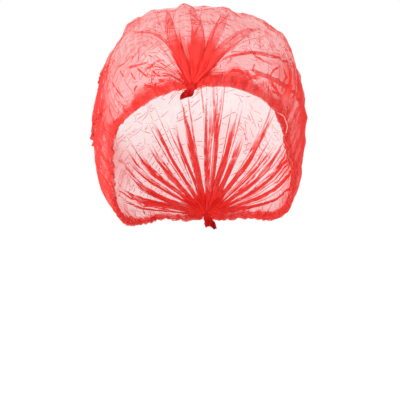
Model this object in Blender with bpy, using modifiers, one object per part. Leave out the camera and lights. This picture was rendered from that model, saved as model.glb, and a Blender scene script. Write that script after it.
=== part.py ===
"""A disposable pleated hairnet (clip cap) in its worn form.

One strip of thin non-woven cloth is pleated from a welded seal at the forehead
to a second one at the nape. Its two long edges are folded over an elastic
thread, which gathers each into a hem. Metres, +Z up, the forehead faces -Y,
the wearer's left is +X, and the origin is where the head touches the crown.
"""

import math
from collections import namedtuple

import bmesh
import bpy
import numpy as np
from mathutils import Matrix, Vector

# Form of the cap round the head
CROWN_RIGHT_WIDTH = 0.0816
CROWN_LEFT_WIDTH = 0.0834
CROWN_FRONT_REACH = 0.1000
CROWN_BACK_REACH = 0.1060
CROWN_RISE = 0.1135
NAPE_DROP = 0.0840
PLAN_SQUARENESS = 2.25
PROFILE_SQUARENESS = 2.75
SEAL_TILT_DEG = 31.0
RIGHT_EDGE_PULL = 0.0090
LEFT_EDGE_PULL = 0.0065
SEAL_PULL = 0.0065
EDGE_PULL_ANGLE_DEG = 30.0
SEAL_PULL_ANGLE_DEG = 24.0

# Cloth and its pleats
CLOTH_WALL = 0.0012
PLEAT_RISE = 0.0034
PLEAT_FADE_SHARE = 0.16

# Folded hem with its elastic thread
HEM_WALL = 0.0010
HEM_HEIGHT = 0.0120
HEM_SEAL_SHARE = 0.45
HEM_GROWTH_ANGLE_DEG = 14.0
HEM_PUFF = 0.0012
HEM_SCALLOP = 0.0007
HEM_CLEARANCE = 0.0006
ELASTIC_DIAMETER = 0.0012

# Welded end seals
SEAL_RADIUS = 0.0072
SEAL_THICKNESS = 0.0034
SEAL_RIB = 0.0005
SEAL_TOP_SHARE = 0.80
SEAL_TAIL = 0.0125
TAIL_FLARE = 0.0012
CLEARANCE = 0.0003

# Mesh density
GATHERS_PER_HEM = 33
ELASTIC_POINTS = 40
SEAL_RIBS = 6
SEAL_ROWS = 9

RIGHT, LEFT = -1, 1

# The cap's lower edge, as an angle round the line from seal to seal: 0 is straight over the
# crown. The wearer's right side is pulled lower than the left.
EdgeRow = namedtuple("EdgeRow", "station right_deg left_deg")
EDGE = (
    EdgeRow(0.00, 112, 104),
    EdgeRow(0.06, 111, 98),
    EdgeRow(0.12, 109, 94),
    EdgeRow(0.18, 108, 93),
    EdgeRow(0.24, 110, 96),
    EdgeRow(0.30, 116, 101),
    EdgeRow(0.36, 123, 107),
    EdgeRow(0.43, 129, 111),
    EdgeRow(0.51, 132, 115),
    EdgeRow(0.60, 132, 118),
    EdgeRow(0.70, 128, 118),
    EdgeRow(0.80, 120, 113),
    EdgeRow(0.90, 109, 105),
    EdgeRow(1.00, 100, 98),
)

# Pleat crests from the right hem over the crown to the left one. place is a share of the
# angle down to the hem's top on that side, and rise is a share of PLEAT_RISE.
Pleat = namedtuple("Pleat", "place rise")
PLEATS = (
    Pleat(-0.920, 0.45),
    Pleat(-0.790, 0.75),
    Pleat(-0.660, 0.85),
    Pleat(-0.530, 0.70),
    Pleat(-0.405, 0.80),
    Pleat(-0.283, 0.90),
    Pleat(-0.160, 1.00),
    Pleat(-0.107, 0.80),
    Pleat(-0.045, 1.05),
    Pleat(0.000, 0.85),
    Pleat(0.062, 0.90),
    Pleat(0.130, 0.85),
    Pleat(0.210, 0.55),
    Pleat(0.310, 0.85),
    Pleat(0.420, 0.80),
    Pleat(0.540, 0.85),
    Pleat(0.660, 0.70),
    Pleat(0.780, 0.80),
    Pleat(0.900, 0.50),
)

CLOTH_COLOUR = (0.93, 0.11, 0.09, 1.0)
HEM_COLOUR = (0.90, 0.07, 0.06, 1.0)
SEAL_COLOUR = (0.68, 0.02, 0.02, 1.0)
ELASTIC_COLOUR = (0.95, 0.45, 0.42, 1.0)

# The form's centre lies halfway between the seals
CENTRE = np.array([0.0, 0.0, -CROWN_RISE])
TILT = math.radians(SEAL_TILT_DEG)
TO_FRONT_SEAL = np.array([0.0, -math.cos(TILT), math.sin(TILT)])
OVER_CROWN = np.array([0.0, math.sin(TILT), math.cos(TILT)])
SIDEWAYS = np.array([1.0, 0.0, 0.0])


def ease(share):
    """0 to 1 with no jerk at either end."""
    share = np.clip(share, 0.0, 1.0)
    return share * share * (3.0 - 2.0 * share)


def through(knots, values, at):
    """A smooth curve through a short table, read at any place."""
    knots = np.asarray(knots, float)
    values = np.asarray(values, float)
    slopes = np.gradient(values, knots)
    at = np.clip(at, knots[0], knots[-1])
    index = np.clip(np.searchsorted(knots, at) - 1, 0, len(knots) - 2)
    span = knots[index + 1] - knots[index]
    share = (at - knots[index]) / span
    bend = share * share * (3.0 - 2.0 * share)
    start = share * (1.0 - share) ** 2
    end = share * share * (share - 1.0)
    level = values[index] * (1.0 - bend) + values[index + 1] * bend
    return level + span * (start * slopes[index] + end * slopes[index + 1])


def edge_angle(station, side):
    """The angle of the cap's lower edge, in radians from straight over the crown."""
    column = [row.left_deg if side == LEFT else row.right_deg for row in EDGE]
    return np.radians(through([row.station for row in EDGE], column, station))


def form_radius(direction):
    """How far the rounded form lies from its centre, inside the cloth."""
    half_width = np.where(direction[..., 0] < 0.0, CROWN_RIGHT_WIDTH, CROWN_LEFT_WIDTH)
    across = np.abs(direction[..., 0] / half_width)
    reach = np.where(direction[..., 1] < 0.0, CROWN_FRONT_REACH, CROWN_BACK_REACH)
    along = np.abs(direction[..., 1] / reach)
    height = np.where(direction[..., 2] > 0.0, CROWN_RISE, NAPE_DROP)
    up = np.abs(direction[..., 2] / height)
    plan = (across**PLAN_SQUARENESS + along**PLAN_SQUARENESS) ** (
        PROFILE_SQUARENESS / PLAN_SQUARENESS
    )
    return (plan + up**PROFILE_SQUARENESS) ** (-1.0 / PROFILE_SQUARENESS)


def drawn_in(station, angle):
    """How far the elastic and the seals draw the cloth in to the head."""
    on_left = angle > 0.0
    side_edge = np.where(on_left, edge_angle(station, LEFT), edge_angle(station, RIGHT))
    from_edge = (side_edge - np.abs(angle)) / math.radians(EDGE_PULL_ANGLE_DEG)
    from_seal = np.minimum(station, 1.0 - station) * 180.0 / SEAL_PULL_ANGLE_DEG
    near_seal = 1.0 - ease(from_seal)
    edge_pull = LEFT_EDGE_PULL + (RIGHT_EDGE_PULL - LEFT_EDGE_PULL) * (1.0 - on_left)
    edge_pull = SEAL_PULL + (edge_pull - SEAL_PULL) * (1.0 - near_seal)
    return edge_pull * (1.0 - ease(from_edge)) * (1.0 - near_seal) + SEAL_PULL * near_seal


def middle_of_cloth(station, angle, rise=0.0):
    """Points on the middle of the cloth: station runs from seal to seal, angle goes round."""
    station, angle = np.broadcast_arrays(
        np.asarray(station, float), np.asarray(angle, float)
    )
    turn = math.pi * station[..., None]
    outward = np.cos(angle)[..., None] * OVER_CROWN + np.sin(angle)[..., None] * SIDEWAYS
    direction = np.cos(turn) * TO_FRONT_SEAL + np.sin(turn) * outward
    radius = form_radius(direction) + CLOTH_WALL / 2.0
    radius = radius - drawn_in(station, angle) + rise
    return CENTRE + direction * radius[..., None]


def outward_normal(station, angle):
    """The cloth's outward normal, from points a little way along and round it."""
    step = 1e-3
    along = middle_of_cloth(station + step, angle) - middle_of_cloth(station - step, angle)
    round_it = middle_of_cloth(station, angle + step) - middle_of_cloth(station, angle - step)
    normal = np.cross(along, round_it)
    return normal / np.linalg.norm(normal, axis=-1, keepdims=True)


def seal_station():
    """The station of the round throat in the cloth that a seal sits in."""
    throat = SEAL_RADIUS + CLEARANCE
    reach = min(form_radius(TO_FRONT_SEAL), form_radius(-TO_FRONT_SEAL)) - SEAL_PULL
    return math.asin(throat / reach) / math.pi


def climb(station, angle, height):
    """The angle that lies a height up the cloth from the given one, towards the crown."""
    step = 1e-3
    ahead = middle_of_cloth(station, angle + step)
    behind = middle_of_cloth(station, angle - step)
    reach = np.linalg.norm(ahead - behind, axis=-1) / (2.0 * step)
    return angle - np.sign(angle) * height / reach


def elastic_height():
    """How far the thread's middle lies above the bottom of the hem's fold."""
    beside = HEM_WALL / 2.0 + ELASTIC_DIAMETER / 2.0 + HEM_CLEARANCE
    return HEM_WALL / 2.0 + math.sqrt(2.0) * beside


def cloth_edge_height():
    """How far the crown's edge lies above the bottom of the hem's fold."""
    return elastic_height() + ELASTIC_DIAMETER / 2.0 + HEM_CLEARANCE


def new_collection(name):
    collection = bpy.data.collections.new(name)
    bpy.context.scene.collection.children.link(collection)
    return collection


def finish_of(name, colour, roughness):
    material = bpy.data.materials.new(name)
    material.use_nodes = True
    shader = material.node_tree.nodes["Principled BSDF"]
    shader.inputs["Base Color"].default_value = colour
    shader.inputs["Roughness"].default_value = roughness
    shader.inputs["Metallic"].default_value = 0.0
    return material


def sheet_object(name, points, wall, material, collection):
    """A grid whose vertices take the given rows of points, with a wall round that surface."""
    rows, columns = points.shape[:2]
    mesh = bpy.data.meshes.new(name)
    build = bmesh.new()
    bmesh.ops.create_grid(build, x_segments=columns - 1, y_segments=rows - 1, size=1.0)
    build.verts.ensure_lookup_table()
    for vertex, place in zip(build.verts, points.reshape(-1, 3)):
        vertex.co = place
    build.to_mesh(mesh)
    build.free()
    mesh.materials.append(material)
    sheet = bpy.data.objects.new(name, mesh)
    collection.objects.link(sheet)
    solidify = sheet.modifiers.new("wall", "SOLIDIFY")
    solidify.thickness = wall
    solidify.offset = 0.0
    solidify.use_even_offset = True
    return sheet


def pleat_columns():
    """Places of crests and valleys across the crown, as shares, with their rises."""
    crests = [(pleat.place, pleat.rise * PLEAT_RISE) for pleat in PLEATS]
    valleys = [
        ((left.place + right.place) / 2.0, 0.0) for left, right in zip(PLEATS, PLEATS[1:])
    ]
    columns = sorted([(-1.0, 0.0), *crests, *valleys, (1.0, 0.0)])
    return np.array(columns)


def add_crown(material, collection):
    """The pleated dome: every column runs from the front seal to the back one."""
    first = seal_station()
    stations = np.linspace(first, 1.0 - first, GATHERS_PER_HEM + 1)[:, None]
    shares, rises = pleat_columns().T
    in_hem = {}
    for side in (RIGHT, LEFT):
        bottom = side * edge_angle(stations, side)
        heights = (hem_top(stations), hem_middle(stations), cloth_edge_height())
        in_hem[side] = [climb(stations, bottom, height) for height in heights]
    limits = np.where(shares < 0.0, -in_hem[RIGHT][0], in_hem[LEFT][0])
    open_out = np.sin(math.pi * stations) ** 1.3
    fade = ease((1.0 - np.abs(shares)) / PLEAT_FADE_SHARE)
    right_edge = middle_of_cloth(stations, np.hstack(in_hem[RIGHT][:0:-1]))
    pleated = middle_of_cloth(stations, shares * limits, rises * fade * open_out)
    left_edge = middle_of_cloth(stations, np.hstack(in_hem[LEFT][1:]))
    points = np.concatenate([right_edge, pleated, left_edge], axis=1)
    return sheet_object("crown", points, CLOTH_WALL, material, collection)


def hem_gap():
    """How far the middle of each leaf of the hem lies from the middle of the cloth."""
    return CLOTH_WALL / 2.0 + HEM_CLEARANCE + HEM_WALL / 2.0


def hem_corner():
    """Where the hem's leaves meet its rounded fold, above the bottom of the fold."""
    return HEM_WALL / 2.0 + hem_gap()


def hem_top(station):
    """The hem's height, less where it comes into a seal."""
    from_seal = np.minimum(station, 1.0 - station) * 180.0 / HEM_GROWTH_ANGLE_DEG
    return HEM_HEIGHT * (HEM_SEAL_SHARE + (1.0 - HEM_SEAL_SHARE) * ease(from_seal))


def hem_middle(station):
    return (hem_top(station) + hem_corner()) / 2.0


def hem_profile(station, puffed):
    """Rows of (height up the cloth, offset outwards) round the folded hem's wall."""
    top, middle = hem_top(station), hem_middle(station)
    gap = hem_gap()
    outer_puff = HEM_PUFF if puffed else 0.0
    inner_puff = outer_puff / 2.0
    scallop = HEM_SCALLOP if puffed else 0.0
    return (
        (top, gap),
        (middle, gap + outer_puff),
        (hem_corner(), gap + outer_puff / 2.0),
        (HEM_WALL / 2.0 - scallop, 0.0),
        (hem_corner(), -gap - inner_puff / 2.0),
        (middle, -gap - inner_puff),
        (top, -gap),
    )


def add_hem(name, side, material, collection):
    """A strip folded over the crown's edge, with a gather at every second section."""
    first = seal_station()
    sections = np.linspace(first, 1.0 - first, 2 * GATHERS_PER_HEM + 1)
    rows = []
    for index, station in enumerate(sections):
        bottom = side * edge_angle(station, side)
        row = []
        for height, offset in hem_profile(station, index % 2 == 1):
            angle = climb(station, bottom, height)
            base = middle_of_cloth(station, angle)
            row.append(base + outward_normal(station, angle) * offset)
        rows.append(row)
    points = np.array(rows)
    if side == LEFT:
        points = points[:, ::-1]
    return sheet_object(name, points, HEM_WALL, material, collection)


def add_elastic(name, side, material, collection):
    """The thread in the bottom of a hem's fold, held at both seals."""
    first = seal_station()
    stations = np.linspace(first, 1.0 - first, ELASTIC_POINTS)
    bottom = side * edge_angle(stations, side)
    route = middle_of_cloth(stations, climb(stations, bottom, elastic_height()))
    curve = bpy.data.curves.new(name, "CURVE")
    curve.dimensions = "3D"
    curve.bevel_depth = ELASTIC_DIAMETER / 2.0
    curve.bevel_resolution = 2
    curve.use_fill_caps = True
    spline = curve.splines.new("POLY")
    spline.points.add(len(route) - 1)
    for point, place in zip(spline.points, route):
        point.co = (*place, 1.0)
    curve.materials.append(material)
    thread = bpy.data.objects.new(name, curve)
    collection.objects.link(thread)
    return thread


def seal_frame(station):
    """A matrix at a seal: X is the wearer's left, Y runs up the cloth, Z points outwards."""
    centre = middle_of_cloth(station, 0.0)
    near = abs(station - 0.01)
    up_point = middle_of_cloth(near, 0.0)
    up = up_point - centre
    up = up / np.linalg.norm(up)
    outward = np.cross(SIDEWAYS, up)
    if outward @ (centre - CENTRE) < 0.0:
        outward = -outward
    frame = Matrix.Identity(4)
    for column, axis in enumerate((np.cross(up, outward), up, outward, centre)):
        frame.col[column].xyz = Vector(axis)
    return frame


def seal_half_width(height):
    """Half the seal's width at a height over its middle: a round head, then a flared tail."""
    neck = 0.80 * SEAL_RADIUS
    if height > 0.0:
        return math.sqrt(max(SEAL_RADIUS**2 - height**2, 0.0))
    down = -height / SEAL_TAIL
    waist = SEAL_RADIUS + (neck - SEAL_RADIUS) * min(1.0, 2.5 * down)
    return waist + TAIL_FLARE * ease((down - 0.4) / 0.6)


def add_seal(name, station, material, collection):
    """A stack of welded pleats: a ribbed head that fills the throat and a short tail."""
    heights = np.linspace(SEAL_TOP_SHARE * SEAL_RADIUS, -SEAL_TAIL, SEAL_ROWS + 1)
    shares = np.linspace(-1.0, 1.0, 2 * SEAL_RIBS + 1)
    rows = []
    for height in heights:
        half = seal_half_width(height)
        rib = SEAL_RIB * min(1.0, half / SEAL_RADIUS) ** 3
        outward = [rib if index % 2 else -rib for index in range(len(shares))]
        outward[0] = outward[-1] = rib
        rows.append([(half * share, height, out) for share, out in zip(shares, outward)])
    wall = SEAL_THICKNESS - 2.0 * SEAL_RIB
    seal = sheet_object(name, np.array(rows), wall, material, collection)
    seal.matrix_world = seal_frame(station)
    return seal


def clear_scene():
    for leftover in list(bpy.data.objects):
        bpy.data.objects.remove(leftover, do_unlink=True)


def main():
    clear_scene()
    collection = new_collection("hairnet")
    cloth = finish_of("pleated_cloth", CLOTH_COLOUR, 0.75)
    gathered = finish_of("gathered_cloth", HEM_COLOUR, 0.75)
    welded = finish_of("welded_cloth", SEAL_COLOUR, 0.55)
    thread = finish_of("elastic_thread", ELASTIC_COLOUR, 0.45)
    add_crown(cloth, collection)
    for side, side_name in ((RIGHT, "right"), (LEFT, "left")):
        add_hem(f"hem_{side_name}", side, gathered, collection)
        add_elastic(f"elastic_{side_name}", side, thread, collection)
    add_seal("front_seal", 0.0, welded, collection)
    add_seal("back_seal", 1.0, welded, collection)
    bpy.context.view_layer.update()


main()
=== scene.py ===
import math

import bpy
import numpy as np
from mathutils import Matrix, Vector


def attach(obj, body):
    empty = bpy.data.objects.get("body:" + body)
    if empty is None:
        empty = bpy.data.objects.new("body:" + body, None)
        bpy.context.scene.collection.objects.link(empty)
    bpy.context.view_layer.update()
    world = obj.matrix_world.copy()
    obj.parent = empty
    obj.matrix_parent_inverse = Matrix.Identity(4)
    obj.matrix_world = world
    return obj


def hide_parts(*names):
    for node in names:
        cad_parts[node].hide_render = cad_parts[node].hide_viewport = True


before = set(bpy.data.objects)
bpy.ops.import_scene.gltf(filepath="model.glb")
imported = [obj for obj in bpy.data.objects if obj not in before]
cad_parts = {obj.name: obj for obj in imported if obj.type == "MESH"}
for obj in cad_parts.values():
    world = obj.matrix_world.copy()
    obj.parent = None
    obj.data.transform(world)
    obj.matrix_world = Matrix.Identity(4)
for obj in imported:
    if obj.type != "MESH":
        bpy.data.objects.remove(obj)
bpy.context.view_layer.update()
print("frame loaded")

# the rounded form of the cap, in metres and degrees, as it stands in the frame
form = {
    "rightWidth": 0.0816,
    "leftWidth": 0.0834,
    "frontReach": 0.1000,
    "backReach": 0.1060,
    "rise": 0.1135,
    "napeDrop": 0.0840,
    "planSquareness": 2.25,
    "profileSquareness": 2.75,
    "sealTilt": 31.0,
    "rightPull": 0.0090,
    "leftPull": 0.0065,
    "sealPull": 0.0065,
    "edgePullAngle": 30.0,
    "sealPullAngle": 24.0,
    "clothMiddle": 0.0006,
    "throat": 0.0075,
    "knotDrop": 0.066,
    "knotAside": 0.022,
    "knotReachUp": 0.040,
    "knotReachDown": 0.0145,
    "stationLength": 0.314,
}

# a station is the share of the way from the front seal to the back one. the lower edge: station,
# then degrees from straight over the crown on the right side, which is -X, and on the left
edgeRows = np.array(
    [
        (0.000, 174, 170),
        (0.020, 166, 158),
        (0.033, 150, 138),
        (0.048, 136, 120),
        (0.068, 125, 109),
        (0.090, 118, 102),
        (0.13, 114, 98),
        (0.18, 111, 95.5),
        (0.24, 109, 96),
        (0.30, 111, 100),
        (0.36, 118, 106),
        (0.43, 126, 110),
        (0.51, 131, 114),
        (0.60, 132, 118),
        (0.70, 128, 118),
        (0.80, 120, 113),
        (0.90, 112, 108),
        (0.93, 116, 112),
        (0.955, 128, 124),
        (0.975, 148, 144),
        (1.00, 172, 170),
    ]
)

centre = np.array([0.0, 0.0, -form["rise"]])
tilt = math.radians(form["sealTilt"])
toFront = np.array([0.0, -math.cos(tilt), math.sin(tilt)])
overCrown = np.array([0.0, math.sin(tilt), math.cos(tilt)])
sideways = np.array([1.0, 0.0, 0.0])


def ease(share):
    share = np.clip(share, 0.0, 1.0)
    return share * share * (3.0 - 2.0 * share)


def past(value, start, width):
    # 0 up to the start, rising to 1 over the width
    return ease((value - start) / width)


def upTo(value, start, width):
    return 1.0 - past(value, start, width)


def throughPoints(knots, values, at):
    # a smooth curve through a short table
    knots = np.asarray(knots, float)
    values = np.asarray(values, float)
    slopes = np.gradient(values, knots)
    at = np.clip(at, knots[0], knots[-1])
    index = np.clip(np.searchsorted(knots, at) - 1, 0, len(knots) - 2)
    span = knots[index + 1] - knots[index]
    share = (at - knots[index]) / span
    bend = ease(share)
    start = share * (1.0 - share) ** 2
    end = share * share * (share - 1.0)
    level = values[index] * (1.0 - bend) + values[index + 1] * bend
    return level + span * (start * slopes[index] + end * slopes[index + 1])


def edgeAngle(station, side):
    column = 2 if side > 0 else 1
    return np.radians(throughPoints(edgeRows[:, 0], edgeRows[:, column], station))


def formRadius(direction):
    halfWidth = np.where(direction[..., 0] < 0.0, form["rightWidth"], form["leftWidth"])
    reach = np.where(direction[..., 1] < 0.0, form["frontReach"], form["backReach"])
    height = np.where(direction[..., 2] > 0.0, form["rise"], form["napeDrop"])
    plan, profile = form["planSquareness"], form["profileSquareness"]
    across = np.abs(direction[..., 0] / halfWidth) ** plan
    along = np.abs(direction[..., 1] / reach) ** plan
    up = np.abs(direction[..., 2] / height) ** profile
    return ((across + along) ** (profile / plan) + up) ** (-1.0 / profile)


def drawnIn(station, angle):
    onLeft = angle > 0.0
    sideEdge = np.where(onLeft, edgeAngle(station, 1), edgeAngle(station, -1))
    fromEdge = (sideEdge - np.abs(angle)) / math.radians(form["edgePullAngle"])
    fromSeal = np.minimum(station, 1.0 - station) * 180.0 / form["sealPullAngle"]
    nearSeal = 1.0 - ease(fromSeal)
    pull = np.where(onLeft, form["leftPull"], form["rightPull"])
    pull = form["sealPull"] + (pull - form["sealPull"]) * (1.0 - nearSeal)
    return pull * (1.0 - ease(fromEdge)) * (1.0 - nearSeal) + form["sealPull"] * nearSeal


# swells and dips of the worn cap: degrees, station, half widths of each, height in mm
swellRows = [
    (-118, 0.46, 10, 0.10, -3.0),
    (-85, 0.36, 10, 0.12, 2.5),
    (-43, 0.31, 4.5, 0.12, -1.6),
    (-33, 0.31, 4.0, 0.12, 3.2),
    (-24, 0.31, 3.5, 0.12, 2.6),
    (-6.4, 0.30, 3.4, 0.10, 4.4),
    (-0.6, 0.31, 2.2, 0.10, -1.8),
    (6.0, 0.30, 3.0, 0.10, 0.8),
    (14, 0.32, 3.5, 0.10, 0.9),
    (20, 0.32, 4, 0.10, -2.4),
    (30, 0.32, 4, 0.10, 0.6),
    (46, 0.33, 10, 0.14, 4.6),
    (62, 0.34, 9, 0.14, 2.6),
    (76, 0.35, 10, 0.14, 2.0),
    (112, 0.46, 8, 0.026, 4.2),
]


def swell(station, angle):
    degrees = np.degrees(angle)
    total = 0.0 * degrees
    for place, middle, halfAngle, halfStation, height in swellRows:
        shape = -(((degrees - place) / halfAngle) ** 2) - ((station - middle) / halfStation) ** 2
        total = total + height * 0.001 * np.exp(shape)
    return total


def clothPoint(station, angle, lift=0.0):
    station, angle = np.broadcast_arrays(np.asarray(station, float), np.asarray(angle, float))
    turn = math.pi * station[..., None]
    outward = np.cos(angle)[..., None] * overCrown + np.sin(angle)[..., None] * sideways
    direction = np.cos(turn) * toFront + np.sin(turn) * outward
    # the elastic draws the gathered front end down
    reach = form["knotReachDown"] + (form["knotReachUp"] - form["knotReachDown"]) * ease(
        (np.cos(angle) + 0.15) / 1.15
    )
    drawn = (1.0 - ease(station * form["stationLength"] / reach))[..., None]
    direction = direction + drawn * (form["knotAside"] * sideways - form["knotDrop"] * overCrown)
    direction = direction / np.linalg.norm(direction, axis=-1, keepdims=True)
    radius = formRadius(direction) + form["clothMiddle"] - drawnIn(station, angle) + lift
    radius = radius + swell(station, angle)
    return centre + direction * radius[..., None]


def clothNormal(station, angle):
    step = 1e-3
    along = clothPoint(station + step, angle) - clothPoint(station - step, angle)
    roundIt = clothPoint(station, angle + step) - clothPoint(station, angle - step)
    normal = np.cross(roundIt, along)
    return normal / np.linalg.norm(normal, axis=-1, keepdims=True)


def climb(station, angle, height):
    # the angle that lies a height up the cloth, towards the crown
    step = 1e-3
    ahead, behind = clothPoint(station, angle + step), clothPoint(station, angle - step)
    reach = np.linalg.norm(ahead - behind, axis=-1) / (2.0 * step)
    return angle - np.sign(angle) * height / reach


def sealStation():
    reach = min(formRadius(toFront), formRadius(-toFront)) - form["sealPull"]
    return math.asin(form["throat"] / reach) / math.pi


def grain(first, second, seed):
    # smooth noise from -1 to 1 over two arrays of places, one unit a cell
    cells = np.random.default_rng(seed).uniform(-1.0, 1.0, (64, 64))
    lowA, lowB = np.floor(first).astype(int), np.floor(second).astype(int)
    shareA, shareB = ease(first - lowA), ease(second - lowB)
    near = cells[lowA % 64, lowB % 64] * (1 - shareB) + cells[lowA % 64, (lowB + 1) % 64] * shareB
    far = cells[(lowA + 1) % 64, lowB % 64] * (1 - shareB)
    far = far + cells[(lowA + 1) % 64, (lowB + 1) % 64] * shareB
    return near * (1 - shareA) + far * shareA


def paintMasks(mesh, masks):
    for maskName, values in masks.items():
        attribute = mesh.attributes.new(maskName, "FLOAT", "POINT")
        attribute.data.foreach_set("value", values.reshape(-1).astype(np.float32))


def fitPiece(piece, node):
    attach(piece, "root")
    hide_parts(node)
    return piece


def gridPiece(name, node, material, points, uv, creaseUv, masks):
    # a sheet of quads over rows of points, with its cloth coordinates and painted masks
    rows, columns = points.shape[:2]
    mesh = bpy.data.meshes.new(name)
    index = np.arange(rows * columns).reshape(rows, columns)
    quads = np.stack(
        [index[:-1, :-1], index[:-1, 1:], index[1:, 1:], index[1:, :-1]], axis=-1
    ).reshape(-1, 4)
    mesh.vertices.add(rows * columns)
    mesh.vertices.foreach_set("co", points.reshape(-1).astype(np.float32))
    mesh.loops.add(quads.size)
    mesh.loops.foreach_set("vertex_index", quads.reshape(-1).astype(np.int32))
    mesh.polygons.add(len(quads))
    mesh.polygons.foreach_set("loop_start", np.arange(0, quads.size, 4, dtype=np.int32))
    mesh.update(calc_edges=True)
    layer = mesh.uv_layers.new(name="cloth")
    layer.data.foreach_set("uv", uv.reshape(-1, 2)[quads.reshape(-1)].reshape(-1).astype(np.float32))
    layer = mesh.uv_layers.new(name="crease")
    layer.data.foreach_set("uv", creaseUv.reshape(-1).astype(np.float32))
    paintMasks(mesh, masks)
    mesh.polygons.foreach_set("use_smooth", np.ones(len(mesh.polygons), bool))
    mesh.materials.append(material)
    piece = bpy.data.objects.new(name, mesh)
    bpy.context.scene.collection.objects.link(piece)
    return fitPiece(piece, node)


# a drawn crease, in metres: how far off it is painted, looked for and lifted, and the half width
# from which it isn't painted over. then how quickly its ends fade, and the mark for no crease
crease = {"reach": 0.003, "margin": 0.0032, "lift": 0.0013, "wide": 0.0006, "fade": 5.0, "none": 9.0}

# half widths of the random creases in metres
lineWidths = {
    "bundle": (0.0003, 0.0006),
    "mark": (0.00028, 0.00050),
    "gather": (0.00035, 0.0006),
    "hanging": (0.00035, 0.0006),
    "sealStreak": (0.0002, 0.0004),
    "hem": (0.0004, 0.0009),
}


def drawCreases(first, second, scaleAt, length, lines):
    # each face is told how far it lies across and along the crease that is nearest to it, in
    # half widths and in shares of its run, so a crease stays a fine line on a coarser mesh.
    # lines hold points (first, second), a half width in metres and which way they stand.
    rows, columns = first.shape
    best = np.full((rows - 1, columns - 1), crease["reach"])
    corners = np.zeros((rows - 1, columns - 1, 4, 2))
    corners[..., 0] = crease["none"]
    ridge = np.zeros((rows, columns))
    margin = crease["margin"]
    for points, halfWidth, stand in lines:
        points = np.asarray(points, float)
        scale = scaleAt(points[:, 1].mean())
        steps = np.diff(points, axis=0) * (scale, length)
        runs = np.hypot(steps[:, 0], steps[:, 1])
        total = runs.sum()
        done = 0.0
        for start, step, run in zip(points[:-1], steps, runs):
            if run < 1e-5:
                continue
            ends = start + step / (scale, length)
            low, high = min(start[1], ends[1]), max(start[1], ends[1])
            row0 = max(int(np.searchsorted(second, low - margin / length)) - 1, 0)
            row1 = min(int(np.searchsorted(second, high + margin / length)) + 1, rows)
            if row1 - row0 < 2:
                continue
            middle = first[(row0 + row1) // 2]
            low, high = min(start[0], ends[0]), max(start[0], ends[0])
            column0 = max(int(np.searchsorted(middle, low - margin / scale)) - 2, 0)
            column1 = min(int(np.searchsorted(middle, high + margin / scale)) + 2, columns)
            if column1 - column0 < 2:
                continue
            along, across = step / run
            x = (first[row0:row1, column0:column1] - start[0]) * scale
            y = ((second[row0:row1] - start[1]) * length)[:, None] + 0.0 * x
            off = x * -across + y * along
            onward = x * along + y * across
            away = np.hypot(off, np.clip(np.maximum(-onward, onward - run), 0.0, None))
            share = (done + onward) / total
            fade = crease["fade"]
            taper = np.clip(share * fade, 0, 1) * np.clip((1.0 - share) * fade, 0, 1)
            bump = np.exp(-((away / crease["lift"]) ** 2)) * stand * taper
            there = ridge[row0:row1, column0:column1]
            ridge[row0:row1, column0:column1] = np.where(np.abs(bump) > np.abs(there), bump, there)
            four = (away[:-1, :-1] + away[1:, :-1] + away[1:, 1:] + away[:-1, 1:]) / 4.0
            nearest = best[row0 : row1 - 1, column0 : column1 - 1]
            closer = four < nearest
            nearest[closer] = four[closer]
            if halfWidth > crease["wide"]:
                nearest[closer & (four < halfWidth)] = 0.0
            target = corners[row0 : row1 - 1, column0 : column1 - 1]
            for number, (r, c) in enumerate(((0, 0), (0, 1), (1, 1), (1, 0))):
                block = (slice(r, r + len(x) - 1), slice(c, c + x.shape[1] - 1))
                target[..., number, 0][closer] = (off[block] / halfWidth)[closer]
                target[..., number, 1][closer] = share[block][closer]
            done += run
    return np.clip(corners, -crease["none"], crease["none"]), ridge


def addNode(tree, kind, **values):
    node = tree.nodes.new(kind)
    for name, value in values.items():
        setattr(node, name, value)
    return node


def maths(tree, operation, first, second=None, third=None, clamp=False):
    node = addNode(tree, "ShaderNodeMath", operation=operation, use_clamp=clamp)
    for socket, value in zip(node.inputs, (first, second, third)):
        if value is None:
            continue
        if isinstance(value, (int, float)):
            socket.default_value = value
        else:
            tree.links.new(value, socket)
    return node.outputs[0]


def ramp(tree, factor, stops):
    node = addNode(tree, "ShaderNodeValToRGB")
    elements = node.color_ramp.elements
    while len(elements) < len(stops):
        elements.new(0.5)
    for element, (place, colour) in zip(elements, stops):
        element.position = place
        element.color = (*colour, 1.0)
    tree.links.new(factor, node.inputs[0])
    return node.outputs[0]


def noise(tree, scale, detail, vector):
    node = addNode(tree, "ShaderNodeTexNoise")
    node.inputs["Scale"].default_value = scale
    node.inputs["Detail"].default_value = detail
    tree.links.new(vector, node.inputs["Vector"])
    return node.outputs["Fac"]


def addUp(tree, terms, clamp=False):
    total = terms[0]
    for term in terms[1:-1]:
        total = maths(tree, "ADD", total, term)
    return maths(tree, "ADD", total, terms[-1], clamp=clamp)


def addBump(tree, height, shader, strength, distance):
    bump = addNode(tree, "ShaderNodeBump")
    bump.inputs["Strength"].default_value = strength
    bump.inputs["Distance"].default_value = distance
    tree.links.new(height, bump.inputs["Height"])
    tree.links.new(bump.outputs[0], shader.inputs["Normal"])


def newMaterial(name):
    material = bpy.data.materials.new(name)
    material.use_nodes = True
    return material, material.node_tree, material.node_tree.nodes["Principled BSDF"]


# cells in a metre of cloth for each pattern, the stretch of the streaks, and how unevenly the
# bonds lie
pattern = {
    "patches": 130.0,
    "streaks": 330.0,
    "streakStretch": 0.07,
    "fibres": 1500.0,
    "clouds": 170.0,
    "bonds": 900.0,
    "bondShift": 0.15,
}


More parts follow.
